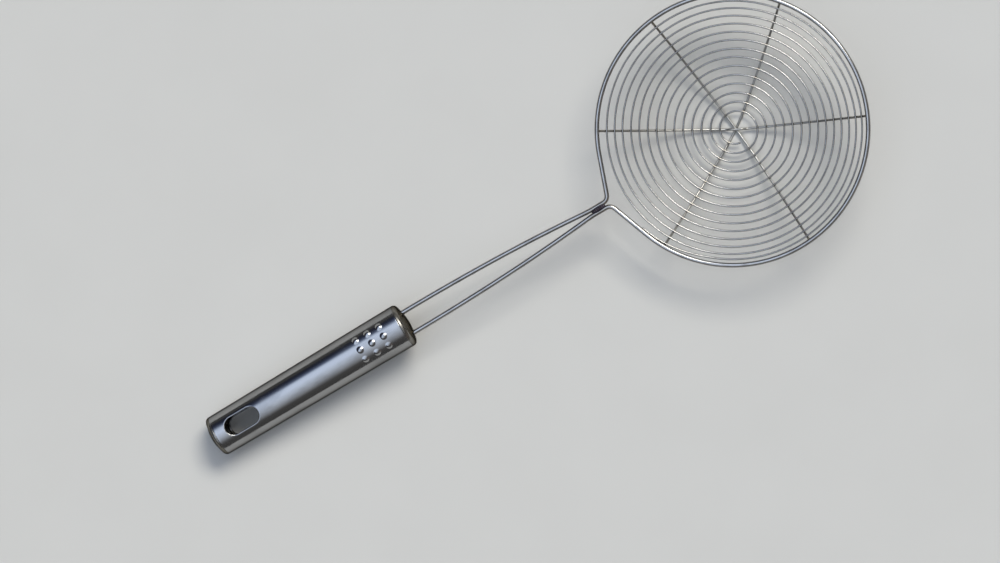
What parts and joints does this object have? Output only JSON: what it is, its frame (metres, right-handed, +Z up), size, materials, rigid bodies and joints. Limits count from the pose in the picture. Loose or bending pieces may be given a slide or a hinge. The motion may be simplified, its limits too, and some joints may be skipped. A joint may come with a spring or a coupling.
{
  "type": "wire skimmer",
  "caption": "Wire skimmer with a shallow bowl wound from one spiral wire on crossing ribs, a rim and two-leg stem bent from one wire, and a hollow steel handle with a hanging slot.",
  "frame": {"origin": "on the table under the middle of the bounding box", "axes": "+X along the tool from the handle to the bowl, +Z up from the table that it lies on"},
  "size_m": [0.4326, 0.16, 0.0409],
  "materials": {
    "frame_wire": "drawn stainless wire, polished",
    "bowl_wire": "drawn stainless wire, bright",
    "weld": "resistance weld, dulled",
    "handle": "polished stainless tube"
  },
  "bodies": {
    "root": {"frame_wire": "frame_wire", "spiral_wire": "bowl_wire", "rib_top": "bowl_wire", "rib_middle": "bowl_wire", "rib_bottom": "bowl_wire", "neck_weld": "weld", "handle_tube": "handle", "front_cap": "handle", "end_cap": "handle"}
  },
  "joints": []
}
